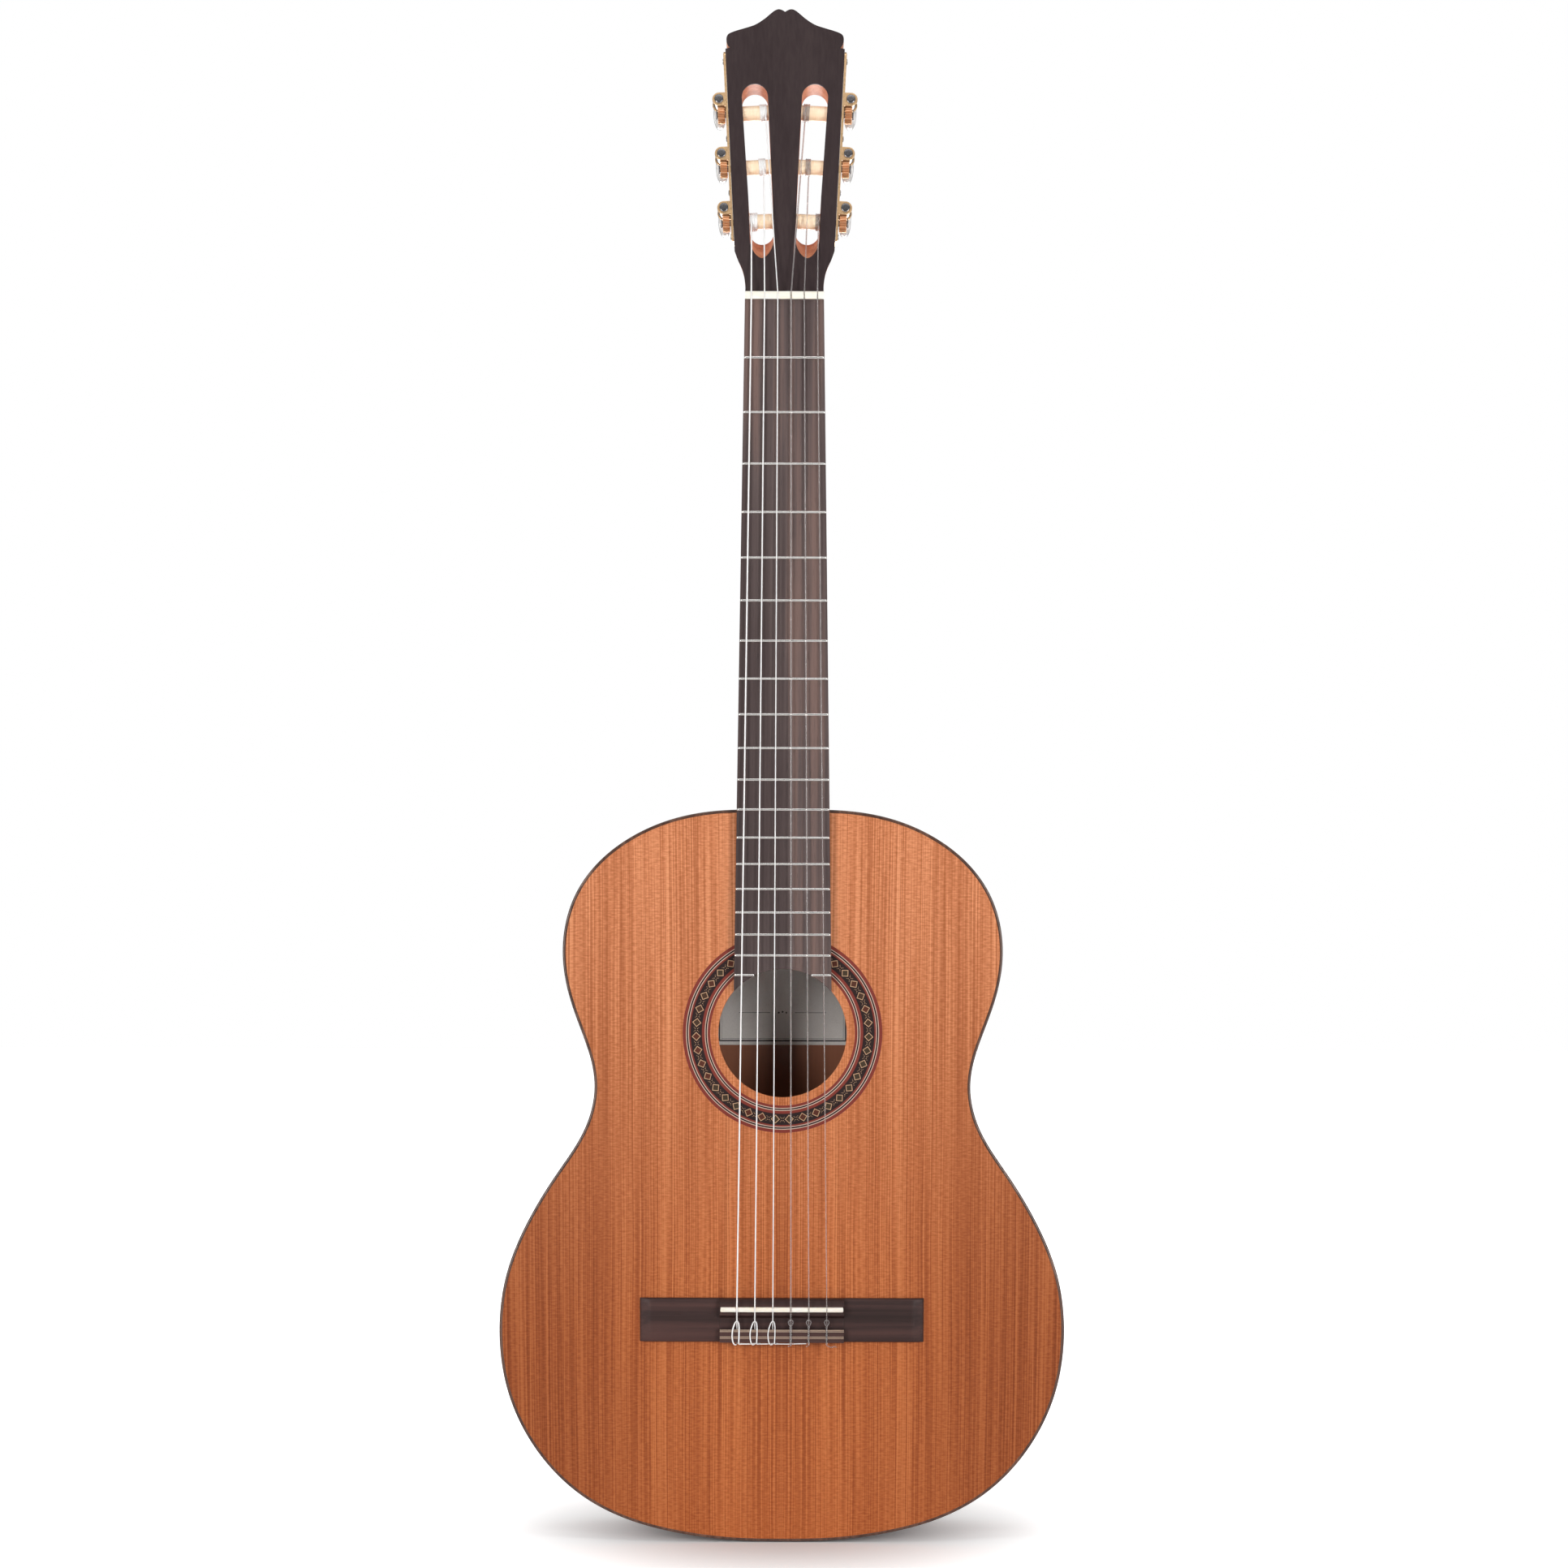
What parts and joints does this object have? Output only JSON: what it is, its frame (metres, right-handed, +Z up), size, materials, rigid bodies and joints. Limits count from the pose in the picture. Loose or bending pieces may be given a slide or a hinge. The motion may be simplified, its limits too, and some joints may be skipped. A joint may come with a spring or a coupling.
{
  "type": "classical guitar",
  "caption": "Nylon-strung classical guitar with braced hollow body, rosette, fretted neck, slotted head, worm-geared tuners, bridge and strings.",
  "frame": {"origin": "centre of the bounding box's bottom face, where the tail of the body stands", "axes": "+Z up along the neck, +Y from the strings to the back, +X from the bass side to the treble side"},
  "size_m": [0.379, 0.114, 1.0019],
  "materials": {
    "cedar": "satin lacquer, fine vertical grain",
    "mahogany": "gloss lacquer, ribbon grain",
    "neck_mahogany": "satin lacquer",
    "veneer": "satin dark rosewood",
    "rosewood": "oiled, open grain",
    "binding": "gloss dark rosewood",
    "rosette": "inlaid rings and mosaic under lacquer",
    "spruce": "bare planed spruce",
    "bone": "polished bone",
    "fret_nickel": "polished nickel silver",
    "gold": "gold plated",
    "dark_steel": "polished dark steel",
    "pearl": "pearl celluloid",
    "roller_plastic": "cream plastic",
    "wound_string": "silvered copper winding",
    "nylon": "clear nylon",
    "paper": "plain printed border"
  },
  "bodies": {
    "root": {"back_binding": "binding", "back_brace_lower": "spruce", "back_brace_middle": "spruce", "back_brace_upper": "spruce", "back_lining": "spruce", "back_plate": "mahogany", "bridge": "rosewood", "fan_bracing": "spruce", "fingerboard": "rosewood", "frets": "fret_nickel", "headstock": "neck_mahogany", "headstock_veneer": "veneer", "heel_cap": "rosewood", "label": "paper", "lower_bar": "spruce", "neck": "neck_mahogany", "neck_block": "neck_mahogany", "nut": "bone", "rib_bass": "mahogany", "rib_treble": "mahogany", "rosette": "rosette", "saddle": "bone", "soundboard": "cedar", "string_1": "nylon", "string_2": "nylon", "string_3": "nylon", "string_4": "wound_string", "string_5": "wound_string", "string_6": "wound_string", "tail_block": "neck_mahogany", "tie_block_cap": "bone", "top_binding": "binding", "top_lining": "spruce", "tuner_plate_bass": "gold", "tuner_plate_treble": "gold", "upper_bar": "spruce"},
    "key_6": {"worm_shaft_6": "dark_steel", "tuner_button_6": "pearl"},
    "roller_6": {"string_roller_6": "roller_plastic", "worm_gear_6": "gold"},
    "key_5": {"worm_shaft_5": "dark_steel", "tuner_button_5": "pearl"},
    "roller_5": {"string_roller_5": "roller_plastic", "worm_gear_5": "gold"},
    "key_4": {"worm_shaft_4": "dark_steel", "tuner_button_4": "pearl"},
    "roller_4": {"string_roller_4": "roller_plastic", "worm_gear_4": "gold"},
    "key_3": {"worm_shaft_3": "dark_steel", "tuner_button_3": "pearl"},
    "roller_3": {"string_roller_3": "roller_plastic", "worm_gear_3": "gold"},
    "key_2": {"worm_shaft_2": "dark_steel", "tuner_button_2": "pearl"},
    "roller_2": {"string_roller_2": "roller_plastic", "worm_gear_2": "gold"},
    "key_1": {"worm_shaft_1": "dark_steel", "tuner_button_1": "pearl"},
    "roller_1": {"string_roller_1": "roller_plastic", "worm_gear_1": "gold"}
  },
  "joints": [
    {"name": "key_6_turn", "type": "hinge", "parent": "root", "child": "key_6", "pos_m": [-0.03928, -0.02854, 0.87306], "axis": [0, 0.9848, -0.1736], "continuous": true},
    {"name": "roller_6_turn", "type": "hinge", "parent": "root", "child": "roller_6", "pos_m": [-0.03888, -0.03, 0.8648], "axis": [-0.9988, -0.0083, -0.0472], "continuous": true},
    {"name": "key_5_turn", "type": "hinge", "parent": "root", "child": "key_5", "pos_m": [-0.04099, -0.02238, 0.90802], "axis": [0, 0.9848, -0.1736], "continuous": true},
    {"name": "roller_5_turn", "type": "hinge", "parent": "root", "child": "roller_5", "pos_m": [-0.04059, -0.02384, 0.89976], "axis": [-0.9988, -0.0083, -0.0472], "continuous": true},
    {"name": "key_4_turn", "type": "hinge", "parent": "root", "child": "key_4", "pos_m": [-0.04269, -0.01622, 0.94298], "axis": [0, 0.9848, -0.1736], "continuous": true},
    {"name": "roller_4_turn", "type": "hinge", "parent": "root", "child": "roller_4", "pos_m": [-0.04229, -0.01767, 0.93472], "axis": [-0.9988, -0.0083, -0.0472], "continuous": true},
    {"name": "key_3_turn", "type": "hinge", "parent": "root", "child": "key_3", "pos_m": [0.04269, -0.01622, 0.94298], "axis": [0, -0.9848, 0.1736], "continuous": true},
    {"name": "roller_3_turn", "type": "hinge", "parent": "root", "child": "roller_3", "pos_m": [0.04229, -0.01767, 0.93472], "axis": [-0.9988, 0.0083, 0.0472], "continuous": true},
    {"name": "key_2_turn", "type": "hinge", "parent": "root", "child": "key_2", "pos_m": [0.04099, -0.02238, 0.90802], "axis": [0, -0.9848, 0.1736], "continuous": true},
    {"name": "roller_2_turn", "type": "hinge", "parent": "root", "child": "roller_2", "pos_m": [0.04059, -0.02384, 0.89976], "axis": [-0.9988, 0.0083, 0.0472], "continuous": true},
    {"name": "key_1_turn", "type": "hinge", "parent": "root", "child": "key_1", "pos_m": [0.03928, -0.02854, 0.87306], "axis": [0, -0.9848, 0.1736], "continuous": true},
    {"name": "roller_1_turn", "type": "hinge", "parent": "root", "child": "roller_1", "pos_m": [0.03888, -0.03, 0.8648], "axis": [-0.9988, 0.0083, 0.0472], "continuous": true}
  ],
  "couplings": [
    {"joint": "roller_6_turn", "follows": "key_6_turn", "ratio": -0.071429},
    {"joint": "roller_5_turn", "follows": "key_5_turn", "ratio": -0.071429},
    {"joint": "roller_4_turn", "follows": "key_4_turn", "ratio": -0.071429},
    {"joint": "roller_3_turn", "follows": "key_3_turn", "ratio": -0.071429},
    {"joint": "roller_2_turn", "follows": "key_2_turn", "ratio": -0.071429},
    {"joint": "roller_1_turn", "follows": "key_1_turn", "ratio": -0.071429}
  ]
}
